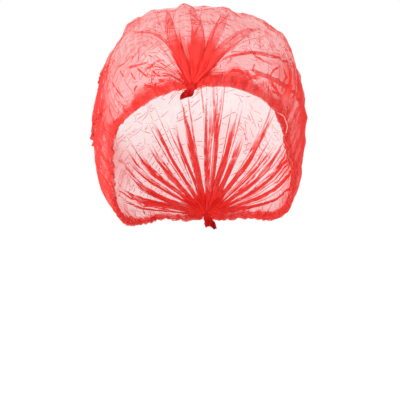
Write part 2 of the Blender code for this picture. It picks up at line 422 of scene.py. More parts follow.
def makeNonWovenGroup():
    # fibres, clouds, streaks and drawn creases of thin non-woven cloth
    group = bpy.data.node_groups.new("nonWovenCloth", "ShaderNodeTree")
    for socketName in ("Cloth", "Crease"):
        group.interface.new_socket(socketName, in_out="INPUT", socket_type="NodeSocketVector")
    for socketName in ("Creases", "Streaks", "Fibres", "Clouds", "Height"):
        group.interface.new_socket(socketName, in_out="OUTPUT", socket_type="NodeSocketFloat")
    given, out = group.nodes.new("NodeGroupInput"), group.nodes.new("NodeGroupOutput")
    cloth = given.outputs["Cloth"]
    # a crease is full over half its width and fades out at its sides and both ends
    split = addNode(group, "ShaderNodeSeparateXYZ")
    group.links.new(given.outputs["Crease"], split.inputs[0])
    across = maths(group, "ABSOLUTE", split.outputs[0])
    line = maths(group, "MULTIPLY_ADD", across, -2.0, 2.0, clamp=True)
    fade = crease["fade"]
    into = maths(group, "MULTIPLY", split.outputs[1], fade, clamp=True)
    outOf = maths(group, "MULTIPLY_ADD", split.outputs[1], -fade, fade, clamp=True)
    line = maths(group, "MULTIPLY", line, maths(group, "MULTIPLY", into, outOf))
    patches = noise(group, pattern["patches"], 1.0, cloth)
    patchy = ramp(group, patches, [(0.30, (0.55, 0.55, 0.55)), (0.62, (1, 1, 1))])
    line = maths(group, "MULTIPLY", line, patchy)
    stretch = addNode(group, "ShaderNodeMapping")
    stretch.inputs["Scale"].default_value = (1.0, pattern["streakStretch"], 1.0)
    group.links.new(cloth, stretch.inputs["Vector"])
    streaks = noise(group, pattern["streaks"], 3.0, stretch.outputs[0])
    fibres = noise(group, pattern["fibres"], 3.0, cloth)
    clouds = noise(group, pattern["clouds"], 3.0, cloth)
    dots = addNode(group, "ShaderNodeTexVoronoi", feature="F1")
    dots.voronoi_dimensions = "2D"
    dots.inputs["Scale"].default_value = pattern["bonds"]
    dots.inputs["Randomness"].default_value = pattern["bondShift"]
    group.links.new(cloth, dots.inputs["Vector"])
    bonds = ramp(group, dots.outputs["Distance"], [(0.18, (0, 0, 0)), (0.3, (1, 1, 1))])
    parts = ((fibres, 0.3), (bonds, 0.15), (line, 0.8), (streaks, 0.5))
    height = addUp(group, [maths(group, "MULTIPLY", value, amount) for value, amount in parts])
    results = {"Creases": line, "Streaks": streaks, "Fibres": fibres, "Clouds": clouds, "Height": height}
    for socketName, value in results.items():
        group.links.new(value, out.inputs[socketName])
    return group


nonWoven = makeNonWovenGroup()


def makeClothMaterial(name, look):
    material, tree, shader = newMaterial(name)
    group = addNode(tree, "ShaderNodeGroup", node_tree=nonWoven)
    for layer, socket in (("cloth", "Cloth"), ("crease", "Crease")):
        tree.links.new(addNode(tree, "ShaderNodeUVMap", uv_map=layer).outputs[0], group.inputs[socket])
    layers, pleated, fold, whole = [
        addNode(tree, "ShaderNodeAttribute", attribute_name=mask).outputs["Fac"]
        for mask in ("layers", "pleated", "fold", "whole")
    ]

    def centred(output, amount):
        return maths(tree, "MULTIPLY_ADD", group.outputs[output], amount, -0.5 * amount)

    def weighted(value, amount):
        return maths(tree, "MULTIPLY", value, amount)

    # streaks only show where several layers lie in pleats
    streaks = maths(tree, "MULTIPLY", centred("Streaks", look["streakAlpha"]), pleated)
    alpha = [layers, streaks, weighted(fold, look["foldAlpha"])]
    alpha.append(weighted(group.outputs["Creases"], look["creaseAlpha"]))
    alpha.extend((centred("Fibres", look["fibreAlpha"]), centred("Clouds", look["cloudAlpha"])))
    alpha = addUp(tree, [*alpha, look["baseAlpha"]], clamp=True)
    tree.links.new(maths(tree, "MULTIPLY", alpha, whole), shader.inputs["Alpha"])

    # the colour deepens with more layers of cloth, and along the creases and rib folds, where the darker
    # colour is partly doubled cloth and partly painted shade
    depth = [weighted(group.outputs["Creases"], look["creaseShade"])]
    depth.extend((weighted(layers, look["layerShade"]), weighted(fold, look["foldShade"]), streaks))
    stops = [(0.0, look["thinColour"]), (0.5, look["foldColour"]), (1.0, look["deepColour"])]
    tree.links.new(ramp(tree, addUp(tree, depth, clamp=True), stops), shader.inputs["Base Color"])
    rough = maths(tree, "MULTIPLY_ADD", group.outputs["Clouds"], 0.2, look["roughness"])
    tree.links.new(rough, shader.inputs["Roughness"])
    shader.inputs["Sheen Weight"].default_value = look["sheen"]
    shader.inputs["Sheen Roughness"].default_value = 0.4
    shader.inputs["Specular IOR Level"].default_value = look["gloss"]
    addBump(tree, group.outputs["Height"], shader, look["bump"], look["bumpDepth"])
    return material


clothLook = {
    "baseAlpha": 0.27,
    "creaseAlpha": 0.68,
    "foldAlpha": 0.07,
    "fibreAlpha": 0.16,
    "cloudAlpha": 0.14,
    "streakAlpha": 2.2,
    "creaseShade": 0.35,
    "layerShade": 0.72,
    "foldShade": 0.10,
    "thinColour": (0.95, 0.085, 0.080),
    "foldColour": (0.95, 0.045, 0.035),
    "deepColour": (0.78, 0.014, 0.010),
    "roughness": 0.62,
    "sheen": 0.05,
    "gloss": 0.2,
    "bump": 0.5,
    "bumpDepth": 0.0006,
}
crownCloth = makeClothMaterial("pleatedNonWoven", clothLook)
hemLook = dict(
    clothLook,
    baseAlpha=0.34,
    creaseAlpha=0.40,
    creaseShade=0.55,
    cloudAlpha=0.7,
    thinColour=(0.95, 0.065, 0.055),
    foldColour=(0.94, 0.038, 0.030),
    bump=0.8,
)
hemCloth = makeClothMaterial("gatheredNonWoven", hemLook)
sealLook = dict(
    hemLook,
    baseAlpha=1.0,
    cloudAlpha=0.1,
    layerShade=1.3,
    foldColour=(0.62, 0.006, 0.005),
    deepColour=(0.42, 0.002, 0.002),
    roughness=0.5,
    sheen=0.0,
    gloss=0.12,
)
sealCloth = makeClothMaterial("weldedNonWoven", sealLook)
print("cloth materials ready")

# Crown

crown = {
    "stations": 252,  # rows of points from seal to seal
    "columns": 388,
    "frontShare": 0.36,  # how much closer the rows lie in front
    "flatWidth": 0.47,
    "flatLength": 0.44,
    "startShare": 0.13,  # where the cloth starts, as a share of the throat's station
    "halfAngle": 105.0,  # degrees of cloth on each side of the middle
    "formReach": 0.098,  # radius round the seal line where the cap is widest
    "wornLength": 0.35,  # cloth from seal to seal over the top
    "foldReach": 0.1,  # radius that turns a rib's overlap into an angle
    "foldLimit": 14.0,  # the most that a rib overlaps, in degrees
    "crumple": 0.0005,
    "sideCrumple": 0.0014,
    "sidePleat": 0.0011,
    "finePleats": 58,
    "finePleatDepth": 0.0007,
    "gatherDepth": 0.000605,
    "creaseRise": 0.00045,
    "markSpacing": 0.0068,  # between rows of crumple marks
    "markRun": 0.0100,  # between the marks of a row
}

# how much denser or thinner the cloth looks in each area, as more or fewer layers lie there
denser = {
    "fan": 0.66,
    "root": 0.34,
    "hem": 0.30,
    "rightSide": 0.38,
    "leftSide": 0.54,
    "crest": 0.36,
    "front": -0.06,
    "nape": 0.10,
    "top": -0.05,
    "low": 0.15,
    "cloud": 0.06,
    "pleats": 0.08,
    "drapes": 0.05,
}

# folded ribs of cloth that fan out from a seal. a row holds the rib's angle close to the seal
# and on top, and the cloth that it takes up on each side, all in degrees; its overlap and its
# height in mm; the stations where it starts to open and lies flat; how much denser it looks;
# which way it folds; and the station where its fold begins
frontRibs = np.array(
    [
        (-96, -90, 5.0, 1.6, 1.4, 0.34, 0.60, 0.08, -1, 0.24),
        (-70, -66, 4.0, 1.2, 1.3, 0.32, 0.55, 0.04, -1, 0.22),
        (-31, -42, 4.0, 1.5, 1.6, 0.12, 0.27, 0.22, -1, 0.0),
        (-26, -17, 6.5, 3.2, 2.1, 0.10, 0.27, 0.13, 1, 0.0),
        (12, -1, 7.0, 4.6, 1.7, 0.10, 0.27, 0.08, -1, 0.0),
        (32, 22.5, 6.5, 3.6, 1.9, 0.10, 0.27, 0.06, 1, 0.0),
        (50, 44, 6.5, 3.4, 2.0, 0.10, 0.27, 0.05, -1, 0.0),
        (62, 63, 4.0, 1.4, 1.3, 0.15, 0.40, 0.10, 1, 0.05),
        (76, 78, 4.0, 1.2, 0.9, 0.24, 0.50, 0.03, -1, 0.12),
    ]
)


def makeBackRibs():
    # at the nape the same cloth lies in more and narrower pleats
    rng = np.random.default_rng(77)
    rows = []
    for far in np.linspace(-92, 86, 19):
        width, fold = rng.uniform(3.2, 4.8), rng.uniform(0.8, 2.4)
        opens, gone = rng.uniform(0.10, 0.18), rng.uniform(0.26, 0.44)
        near, far = far * 0.90 + rng.normal(0, 1.2), far + rng.normal(0, 1.6)
        rise, dense, turn = rng.uniform(1.0, 1.8), rng.uniform(0.05, 0.16), rng.choice((-1, 1))
        rows.append((near, far, width, fold, rise, opens, gone, dense, turn, 0.0))
    return np.array(rows)


backRibs = makeBackRibs()


def ribWave(tau):
    return np.where(np.abs(tau) < 1.0, -np.sin(np.pi * tau) * np.cos(np.pi * tau / 2.0) ** 2, 0.0)


def ribSwell(tau):
    return np.where(np.abs(tau) < 1.0, np.cos(np.pi * tau / 2.0) ** 2, 0.0)


def gatherRows(side, spacing, seed):
    # where each gather of a hem stands along it in metres, how deep it is and how far it runs up
    rng = np.random.default_rng(seed + side)
    count = 220
    places = np.cumsum(rng.uniform(0.4, 1.7, count) * spacing)
    return places, rng.uniform(0.45, 1.0, count), rng.uniform(0.010, 0.030, count)


hemLength = 0.27
gatherSpacing = 0.0036
gatherTables = {side: gatherRows(side, gatherSpacing, 40) for side in (-1, 1)}


def gatherWave(station, side):
    # irregular gathers along a hem, from -1 to 1, and how far each runs up the cloth
    places, depths, reaches = gatherTables[side]
    count = np.interp(station * hemLength, places, np.arange(len(places)))
    depth = np.interp(station * hemLength, places, depths)
    reach = np.interp(station * hemLength, places, reaches)
    return np.sin(math.pi * count) * depth, reach


def creaseRun(start, heading, length, bend):
    # a crease of two straight stretches, from its place on the cloth and its heading
    points = [np.array(start, float)]
    for turn in (0.0, bend):
        step = 0.5 * length * np.array([math.cos(heading + turn), math.sin(heading + turn)])
        points.append(points[-1] + step / (roundScale(points[-1][1]), crown["wornLength"]))
    return points


def roundScale(station):
    # metres of cloth in one radian round the seal line
    return crown["formReach"] * math.sin(math.pi * min(max(station, 0.02), 0.98))


# the plainest creases in front: half width in mm, then degrees and station of each bend
mainCreases = [
    (0.99, [(-71.2, 0.198), (-70.0, 0.173), (-64.4, 0.153), (-62.0, 0.138)]),
    (0.72, [(-54.8, 0.143), (-61.2, 0.132), (-70.0, 0.125)]),
    (1.26, [(-74.4, 0.158), (-73.6, 0.127), (-68.8, 0.103), (-63.2, 0.103)]),
    (1.17, [(-78.0, 0.108), (-74.0, 0.092), (-59.6, 0.078), (-55.6, 0.072), (-58.8, 0.065)]),
    (0.99, [(-74.8, 0.127), (-82.8, 0.108), (-90.0, 0.092)]),
    (1.08, [(-76.0, 0.088), (-84.4, 0.078), (-90.0, 0.063)]),
    (0.63, [(-59.6, 0.108), (-61.2, 0.092)]),
    (0.81, [(-73.6, 0.182), (-83.2, 0.158)]),
    (0.72, [(-78.8, 0.142), (-89.6, 0.125)]),
    (0.90, [(-78.0, 0.212), (-88.8, 0.190), (-97.0, 0.178)]),
    (0.90, [(-96.4, 0.142), (-94.0, 0.125)]),
    (1.08, [(-99.2, 0.115), (-96.0, 0.107), (-100.8, 0.092), (-103.6, 0.087), (-94.8, 0.075)]),
    (1.08, [(-94.8, 0.075), (-99.2, 0.057)]),
    (0.90, [(-22.8, 0.158), (-22.8, 0.130), (-24.0, 0.117)]),
    (0.72, [(-30.8, 0.172), (-24.8, 0.162)]),
    (1.08, [(73.6, 0.083), (62.8, 0.107), (61.2, 0.127), (64.0, 0.153), (68.0, 0.182), (68.0, 0.230)]),
    (0.81, [(78.8, 0.145), (70.8, 0.157)]),
    (0.99, [(78.4, 0.197), (72.0, 0.215), (67.2, 0.243)]),
    (1.08, [(82.0, 0.257), (76.8, 0.252), (72.0, 0.267), (66.4, 0.255)]),
    (0.90, [(84.4, 0.215), (84.4, 0.252)]),
    (1.35, [(83.6, 0.082), (78.4, 0.103), (80.4, 0.122), (79.6, 0.133), (82.4, 0.148), (79.2, 0.182)]),
    (1.35, [(79.2, 0.182), (76.0, 0.195), (80.0, 0.203), (83.2, 0.243), (83.2, 0.265)]),
    (0.72, [(47.2, 0.170), (54.8, 0.160)]),
    (0.72, [(48.8, 0.200), (60.4, 0.182)]),
    (0.72, [(52.4, 0.227), (59.6, 0.222)]),
]


def bundleCreases(rng, ribs, table, stations, atBack):
    # each rib is a bundle of narrower pleats
    lines = []
    for rib, middles in zip(ribs, table):
        width, gone, starts = rib[2], rib[6], rib[9]
        if starts > 0.1:
            continue
        for offset in np.linspace(-0.8, 0.8, 6 if atBack else 4) * width:
            offset = math.radians(offset + rng.normal(0.0, 0.12) * width)
            start = max(rng.uniform(0.04, 0.07), starts)
            end = gone * rng.uniform(0.6, 1.0)
            along = np.linspace(start, end, 5)
            if atBack:
                along = 1.0 - along[::-1]
            places = np.interp(along, stations, middles)
            points = [(place + offset + rng.normal(0, 0.003), at) for place, at in zip(places, along)]
            halfWidth = rng.uniform(*lineWidths["bundle"]) * (1.0 if atBack else 0.45)
            lines.append((points, halfWidth, rng.choice((-1.0, 1.0))))
    return lines


def crumpleMarks(rng):
    # crumple marks all over, most of them across the pleats, some with side branches
    lines = []
    spacing = crown["markSpacing"] / crown["wornLength"]
    for row in np.arange(0.055, 0.945, spacing):
        low, high = -edgeAngle(row, -1) + 0.05, edgeAngle(row, 1) - 0.05
        cell = crown["markRun"] / roundScale(row)
        for place in np.arange(low, high, cell):
            turned = abs(math.degrees(place))
            inFront = row < 0.27 and turned < 100
            if (row < 0.12 and inFront) or rng.random() < (0.72 if inFront else 0.25):
                continue
            at = (place + rng.uniform(0, 1) * cell, row + rng.uniform(-0.4, 0.4) * spacing)
            field = float(grain(np.array(at[0] * 2.4 + 9.0), np.array(at[1] * 11.0), 51))
            hanging = float(past(turned, 55.0, 15.0))
            heading = field * (1.1 - 0.75 * hanging) + rng.normal(0.0, 0.16)
            size = rng.uniform(0.006, 0.018) * (1.0 + 0.7 * hanging)
            width = rng.uniform(*lineWidths["mark"])
            stand = rng.choice((-1.0, 1.0))
            run = creaseRun(at, heading, size, rng.normal(0, 0.10))
            lines.append((run, width, stand))
            for knot in (0, 1, 2):
                if rng.random() < 0.42:
                    off = heading + rng.choice((-1, 1)) * rng.uniform(0.5, 1.1)
                    size = rng.uniform(0.003, 0.009)
                    branch = creaseRun(run[knot], off, size, rng.normal(0, 0.1))
                    lines.append((branch, width * 0.85, stand))
    return lines


def gatherCreases(rng):
    # gathers that run up from the elastic
    lines = []
    for side in (-1, 1):
        places, depths, reaches = gatherTables[side]
        for place, reach in zip(places, reaches):
            station = place / hemLength
            if not 0.03 < station < 0.97 or rng.random() < 0.5:
                continue
            low = side * float(edgeAngle(station, side))
            start, end = [float(climb(station, low, 0.008 + up)) for up in (0.0, reach * 0.75)]
            slant = rng.normal(0.0, 0.014)
            middle = (start + end) / 2 + rng.normal(0, 0.01)
            points = [(start, station), (middle, station + slant), (end, station + 1.6 * slant)]
            lines.append((points, rng.uniform(*lineWidths["gather"]), rng.choice((-1.0, 1.0))))
    return lines


def hangingFolds(rng):
    # long folds that hang down both sides
    lines = []
    for side in (-1, 1):
        for station in np.arange(0.26, 0.62, 0.0105):
            angle = math.radians(rng.uniform(50.0, 72.0))
            low = float(edgeAngle(station, side)) - 0.08
            while angle < low:
                run = rng.uniform(0.15, 0.45)
                if rng.random() < 0.72:
                    stray = station + rng.normal(0, 0.004, 3)
                    points = [(side * min(angle + run * i / 2, low), stray[i]) for i in range(3)]
                    halfWidth = rng.uniform(*lineWidths["hanging"])
                    lines.append((points, halfWidth, rng.choice((-1.0, 1.0))))
                angle += run + rng.uniform(0.02, 0.12)
    return lines


def sealStreaks(rng):
    # streaks close to the seals
    lines = []
    for atBack in (False, True):
        for angle in np.arange(-1.75, 1.70, 0.05):
            start, run = rng.uniform(0.02, 0.05), rng.uniform(0.02, 0.07)
            jitter = angle + rng.normal(0, 0.03, 2)
            points = [(jitter[0], start), (jitter[1], start + run)]
            if atBack:
                points = [(place, 1.0 - station) for place, station in points]
            lines.append((points, rng.uniform(*lineWidths["sealStreak"]), rng.choice((-1.0, 1.0))))
    return lines


def crownCreases(stations, centres):
    rng = np.random.default_rng(8)
    lines = bundleCreases(rng, frontRibs, centres[0], stations, False)
    lines += bundleCreases(rng, backRibs, centres[1], stations, True)
    for halfWidth, knots in mainCreases:
        points = [(math.radians(degrees), station) for degrees, station in knots]
        lines.append((points, halfWidth * 0.001, 1.0))
    return lines + crumpleMarks(rng) + gatherCreases(rng) + hangingFolds(rng) + sealStreaks(rng)


def openedCloth(ribs, across, fromSeal, limits):
    # the angle of each column of cloth before any rib is folded
    places = np.clip(ribs[:, 1] / crown["halfAngle"], -0.95, 0.95)
    nearShare = float(upTo(fromSeal, 0.05, 0.15))
    centres = np.radians(ribs[:, 1] + (ribs[:, 0] - ribs[:, 1]) * nearShare)
    centres = np.clip(centres, limits[0] * 0.95, limits[1] * 0.95)
    knots = [limits[0], *centres, limits[1]]
    return throughPoints([-1.0, *places, 1.0], knots, across), places


def foldRibs(across, stations):
    # the angle of each point of cloth flat and folded, its lift, its masks and each rib's middle
    shape = (len(stations), len(across))
    bases, angles, lifts, foldMask, layers, ribbed = [np.zeros(shape) for _ in range(6)]
    centres = [np.zeros((len(ribs), len(stations))) for ribs in (frontRibs, backRibs)]
    for row, station in enumerate(stations):
        limits = [float(climb(station, side * edgeAngle(station, side), 0.0015)) for side in (-1, 1)]
        backShare = float(past(station, 0.42, 0.16))
        front, frontPlaces = openedCloth(frontRibs, across, station, limits)
        back, backPlaces = openedCloth(backRibs, across, 1.0 - station, limits)
        base = front * (1.0 - backShare) + back * backShare
        bases[row] = angles[row] = base
        slope = np.gradient(base, across)
        radius = crown["foldReach"] * math.sin(math.pi * station)
        for ribs, places, fromSeal, table in (
            (frontRibs, frontPlaces, station, centres[0]),
            (backRibs, backPlaces, 1.0 - station, centres[1]),
        ):
            for number, (rib, place) in enumerate(zip(ribs, places)):
                width, fold, rise, opens, gone, dense, turn, starts = rib[2:]
                table[number, row] = float(np.interp(place, across, base))
                wobble, shake, wander = [
                    float(grain(np.array(fromSeal * along), np.array(number * step), seed))
                    for along, step, seed in ((16.0, 3.3, 61), (70.0, 2.7, 63), (11.0, 5.1, 65))
                ]
                stray = (0.9 * wander + 0.15 * shake) * ease(fromSeal / 0.1)
                place = place + stray / crown["halfAngle"]
                folded = float(upTo(fromSeal, opens, gone - opens))
                painted = folded
                if ribs is frontRibs:
                    # a front rib that has opened still lies doubled, up to the top of the cap
                    painted = 0.3 * folded + (1.0 - folded) * float(upTo(fromSeal, 0.36, 0.16))
                if painted <= 0.0:
                    continue
                reach = width / crown["halfAngle"] * (1.0 + 0.12 * wobble)
                tau = (across - place) / reach
                begun = float(past(fromSeal, starts, 0.06)) if starts > 0.0 else 1.0
                folded = folded * begun
                overlap = fold * 0.001 * (1.0 + 0.20 * wobble + 0.04 * shake) / radius
                overlap = min(overlap, math.radians(crown["foldLimit"])) * folded
                opened = float(np.interp(place, across, slope)) * reach / 3.0
                wave = ribWave(tau)
                angles[row] += (overlap + opened * min(folded * 1.6, 1.0)) / 0.65 * wave
                lift = rise * 0.001 * (0.35 + 0.65 * float(ease(fromSeal / 0.05)))
                ridge = begun * float(upTo(fromSeal, gone - 0.04, 0.12))
                lifts[row] += lift * (turn * wave * folded + 0.65 * ribSwell(tau) * ridge)
                # a rib's fold lines, which the material paints darker: partly doubled cloth, partly
                # painted shade
                edges = np.exp(-(((np.abs(tau) - 0.333) / 0.055) ** 2)) * min(folded * 1.5, 1.0)
                onRib = upTo(np.abs(tau), 0.40, 0.30)
                foldMask[row] = np.maximum(foldMask[row], edges)
                ribbed[row] = np.maximum(ribbed[row], onRib * folded)
                layers[row] = np.maximum(layers[row], dense * onRib * painted)
    return bases, angles, lifts, foldMask, layers, ribbed, centres


def crownLayers(layers, s, side, degrees, height, ribbed, onSide, crest):
    # how dense each point looks: the gathered fans, the hems, the sides and the areas between
    fromSeal, turned, inFront = np.minimum(s, 1.0 - s), np.abs(degrees), s < 0.5
    fanReach = np.where(inFront, 0.045, 0.040) + 0.010 * grain(degrees / 7.0, 0 * s + 2.5, 81)
    fanReach = fanReach + 0.010 * grain(degrees / 1.9, s * 6.0 + 4.5, 82)
    fanReach = fanReach - 0.018 * past(turned, 50.0, 20.0)
    central = upTo(np.abs(degrees - 6.0), 26.0, 14.0) * inFront
    besideFan = upTo(degrees, -44.0, 9.0) * inFront
    fanReach = fanReach + (0.006 + 0.022 * (1.0 - ribbed)) * central - 0.024 * besideFan
    fan = upTo(fromSeal, fanReach, 0.045 + 0.022 * ribbed - 0.020 * besideFan)
    ragged = np.where(side > 0, 0.0072, 0.0058) + 0.0035 * grain(s * 38.0, side * 2.0, 83)
    uneven = 0.80 + 0.16 * grain(degrees / 16.0 + s * 13.0, s * 30.0 - degrees / 21.0, 85)
    uneven = uneven + 0.14 * grain(degrees / 9.0 - s * 17.0, s * 44.0 + degrees / 13.0, 86)
    sides = np.where(side > 0, denser["leftSide"], denser["rightSide"])
    layers = np.maximum(layers, denser["fan"] * fan)
    layers = layers + denser["root"] * upTo(fromSeal, 0.018, 0.045)
    layers = np.maximum(layers, denser["hem"] * upTo(height, ragged, 0.007))
    layers = np.maximum(layers, np.maximum(sides * onSide, denser["crest"] * crest) * uneven)
    front = upTo(s, 0.24, 0.10) * upTo(turned, 62.0, 14.0)
    layers = layers + denser["front"] * front * (1.0 - ribbed)
    layers = layers + denser["nape"] * past(s, 0.70, 0.10) * (1.0 - onSide)
    overTop = past(s, 0.34, 0.08) * upTo(s, 0.76, 0.14)
    layers = layers + denser["top"] * overTop * upTo(turned, 55.0, 20.0)
    return layers + denser["low"] * upTo(height, 0.006, 0.038)


def makeCrown():
    first = sealStation() * crown["startShare"]
    across = np.linspace(-1.0, 1.0, crown["columns"])
    along = np.linspace(0.0, 1.0, crown["stations"])
    along = along * (1.0 - crown["frontShare"]) + crown["frontShare"] * along**2
    stations = first + (1.0 - 2.0 * first) * along
    bases, angles, lifts, foldMask, layers, ribbed, centres = foldRibs(across, stations)
    s, column = np.broadcast_arrays(stations[:, None], across[None, :])
    clothU, clothV = column * crown["flatWidth"] / 2.0, (s - 0.5) * crown["flatLength"]
    fromSeal = np.minimum(s, 1.0 - s)
    side = np.where(angles > 0, 1, -1)
    edge = np.where(side > 0, edgeAngle(s, 1), edgeAngle(s, -1))
    height = np.clip((edge - np.abs(angles)) * crown["formReach"] * np.sin(np.pi * s), 0.0, 1.0)
    # fine pleats close to the seals
    nearSeal = upTo(fromSeal, 0.03, 0.12)
    fine = column * math.pi * crown["finePleats"] + 2.0 * grain(clothU * 60, clothV * 12, 3)
    lifts += crown["finePleatDepth"] * np.sin(fine) * nearSeal * (0.3 + 0.7 * ease(fromSeal / 0.05))
    # gathers that run up from the elastic
    waves, reaches = zip(gatherWave(s, -1), gatherWave(s, 1))
    wave, reach = np.where(side > 0, waves[1], waves[0]), np.where(side > 0, reaches[1], reaches[0])
    gathers = wave * np.exp(-((height / reach) ** 1.6)) * past(fromSeal, first, 0.05)
    lifts += crown["gatherDepth"] * gathers
    # long uneven pleats down both sides
    onSide = past(np.abs(np.degrees(angles)), 52.0, 16.0) * past(fromSeal, 0.19, 0.08)
    hanging = onSide * (1.0 - 0.75 * past(s, 0.48, 0.14))
    pleat = s * 185.0 + 2.4 * grain(bases * 3.5, s * 14.0, 71) + 1.5 * side
    pleats = np.sin(pleat) + 0.6 * np.sin(pleat * 1.7 + 3.0 * grain(s * 9.0, bases * 2.0, 73))
    lifts += crown["sidePleat"] * pleats * hanging
    # crumpled cloth everywhere, most on the sides and where the top turns away from the front
    x, y, degrees = bases * crown["formReach"], s * crown["wornLength"], np.degrees(bases)
    facing = -clothNormal(s, angles)[..., 1]
    bandWidth = 0.11 + 0.14 * past(np.abs(degrees), 28.0, 20.0) + 0.12 * past(degrees, 22.0, 12.0)
    crest = upTo(facing, 0.02, bandWidth) * upTo(s, 0.45, 0.20) * past(fromSeal, 0.12, 0.10)
    crumple = grain(x * 75 + y * 20, y * 85 - x * 12, 11) + 0.7 * grain(x * 150, y * 130 + x * 60, 13)
    drapes = grain(x * 26 + y * 7, y * 130 - x * 9, 15) + 0.6 * grain(x * 60, y * 230 + x * 20, 17)
    crumple = crumple + (drapes * 1.1 - crumple) * onSide
    deeper = (crown["sideCrumple"] - crown["crumple"]) * np.maximum(onSide, crest)
    lifts += crumple * (crown["crumple"] + deeper)
    lines = crownCreases(stations, centres)
    creaseUv, ridge = drawCreases(bases, stations, roundScale, crown["wornLength"], lines)
    lifts += crown["creaseRise"] * ridge * (1.0 - 0.7 * nearSeal) * (1.0 - 0.45 * onSide)
    points = clothPoint(s, angles, lifts)
    uv = np.stack([clothU, clothV], axis=-1)
    layers = crownLayers(layers, s, side, degrees, height, ribbed, onSide, crest)
    layers = layers + denser["cloud"] * grain(x * 45, y * 45, 87)
    layers = layers + (denser["pleats"] * pleats + denser["drapes"] * drapes) * hanging
    layers = np.clip(layers, -0.11, 1.0)
    masks = {"layers": layers, "pleated": layers * (1.0 - 0.8 * onSide), "fold": foldMask}
    masks["whole"] = np.ones(layers.shape)
    return gridPiece("crownCloth", "crown", crownCloth, points, uv, creaseUv, masks)


crownPiece = makeCrown()
print("crown cloth made", len(crownPiece.data.polygons))

# Hems

hem = {
    "sections": 900,  # rows of points along the hem
    "around": 25,
    "heights": {-1: 0.0098, 1: 0.0134},  # -1 is the right side and 1 the left
    "sealShare": {-1: 1.35, 1: 1.15},  # height at the seals, as a share of the height
    "growthAngle": 20.0,  # degrees from a seal to the full height
    "startShare": 0.62,
    "leafGap": 0.0012,
    "rise": 0.0009,
    "ruffle": 0.0013,
    "scallop": 0.0009,
    "ragged": 0.0022,
    "crumple": 0.0008,
    "fineCrumple": 0.0004,
    "creaseRise": 0.00045,
    "lean": 0.0030,
    "creaseSpacing": 0.0032,
    "aroundWidth": 0.030,  # cloth from the top of one leaf to the top of the other
    "flatWidth": 0.025,
    "flatLength": 0.42,
}


def hemCreases(side):
    rng = np.random.default_rng(90 + side)
    lines = []
    for station in np.arange(0.02, 0.98, hem["creaseSpacing"] / hemLength):
        for low, high in ((0.0, 0.5), (0.5, 1.0)):
            if rng.random() < 0.25:
                continue
            start = rng.uniform(low, low + 0.22)
            end = min(start + rng.uniform(0.12, 0.42), high)
            slant = rng.normal(0.0, 0.016, 2)
            middle = ((start + end) / 2, station + slant[0])
            points = [(start, station), middle, (end, station + slant[0] + slant[1])]
            lines.append((points, rng.uniform(*lineWidths["hem"]), rng.choice((-1.0, 1.0))))
    return lines


def makeHem(name, side, node):
    first = sealStation() * hem["startShare"]
    flat = np.linspace(first, 1.0 - first, hem["sections"])
    # around: 0 is the top of the outer leaf, 0.5 the fold, 1 the top of the inner leaf
    stations, around = np.meshgrid(flat, np.linspace(0.0, 1.0, hem["around"]), indexing="ij")
    upward, outer = np.abs(2.0 * around - 1.0), np.where(around < 0.5, 1.0, -1.0)
    nearest = np.minimum(stations, 1.0 - stations)
    atSeal = hem["sealShare"][side]
    top = atSeal + (1.0 - atSeal) * ease(nearest * 180.0 / hem["growthAngle"])
    top = top * hem["heights"][side] * (1.0 - 0.12 * np.exp(-(((stations - 0.42) / 0.12) ** 2)))
    wave = gatherWave(stations, side)[0]
    lines = hemCreases(side)
    creaseUv, ridge = drawCreases(around, flat, lambda station: hem["aroundWidth"], hemLength, lines)
    fine = grain(stations * 190.0, around * 3.0, 31 + side)
    finer = grain(stations * 420.0 + around * 2.0, around * 5.0, 33 + side)
    ragged = grain(stations * 60.0, outer * 2.0 + 5.0, 33 + side)
    ragged = hem["ragged"] * (ragged + 0.3 * grain(stations * 150.0, outer + 9.0, 35))
    scallop = wave * 0.6 + 0.5 * grain(stations * 150.0, 0 * stations + 3.0, 37 + side)
    height = (top + ragged * upward) * upward**1.1 + hem["rise"]
    height = height - hem["scallop"] * scallop * (1.0 - upward)
    # the two leaves stand apart around the thread and ruffle together
    leaf = outer * np.minimum(upward * 3.2, 1.0) ** 0.5
    offset = leaf * hem["leafGap"] * (1.0 + 0.5 * np.sin(np.pi * upward) * (0.6 + 0.4 * wave))
    offset = offset + hem["ruffle"] * wave * (0.75 + 0.25 * upward)
    offset = offset + hem["crumple"] * fine + hem["fineCrumple"] * finer + hem["creaseRise"] * ridge
    away = past(nearest, first, 0.035)
    offset = offset * (0.40 + 0.60 * away)
    angle = climb(stations, side * edgeAngle(stations, side), height)
    lean = hem["lean"] * grain(stations * 60.0, 0 * stations + 7.0, 39 + side) * away * upward
    points = clothPoint(stations + lean, angle)
    points = points + clothNormal(stations + lean, angle) * offset[..., None]
    clothU = (around - 0.5) * hem["flatWidth"] + 0.4 * side
    uv = np.stack([(stations - 0.5) * hem["flatLength"], clothU], axis=-1)
    patches = grain(stations * 40.0, around * 1.6, 43 + side)
    layers = 0.26 - 0.05 * wave + 0.12 * fine + 0.20 * patches + 0.14 * (1.0 - upward)
    layers = np.clip(layers + 0.3 * (1.0 - away), -0.1, 1.0) - 0.22 * np.exp(-((upward / 0.09) ** 2))
    # the free edge of the cloth is frayed, and the fold is thin
    frayed = 0.62 + 0.20 * grain(stations * 48.0, outer * 3.0, 41)
    whole = upTo(upward, frayed, 0.24) * (1.0 - 0.5 * np.exp(-((upward / 0.10) ** 2)))
    masks = {"layers": layers, "pleated": layers, "fold": np.zeros(layers.shape), "whole": whole}
    if side < 0:
        points, uv = points[:, ::-1], uv[:, ::-1]
        creaseUv = creaseUv[:, ::-1][:, :, [1, 0, 3, 2]]
        masks = {key: values[:, ::-1] for key, values in masks.items()}
    return gridPiece(name, node, hemCloth, points, uv, creaseUv, masks)


hemRight = makeHem("hemRightCloth", -1, "hem_right")
hemLeft = makeHem("hemLeftCloth", 1, "hem_left")
print("hems made")

# Welded seals

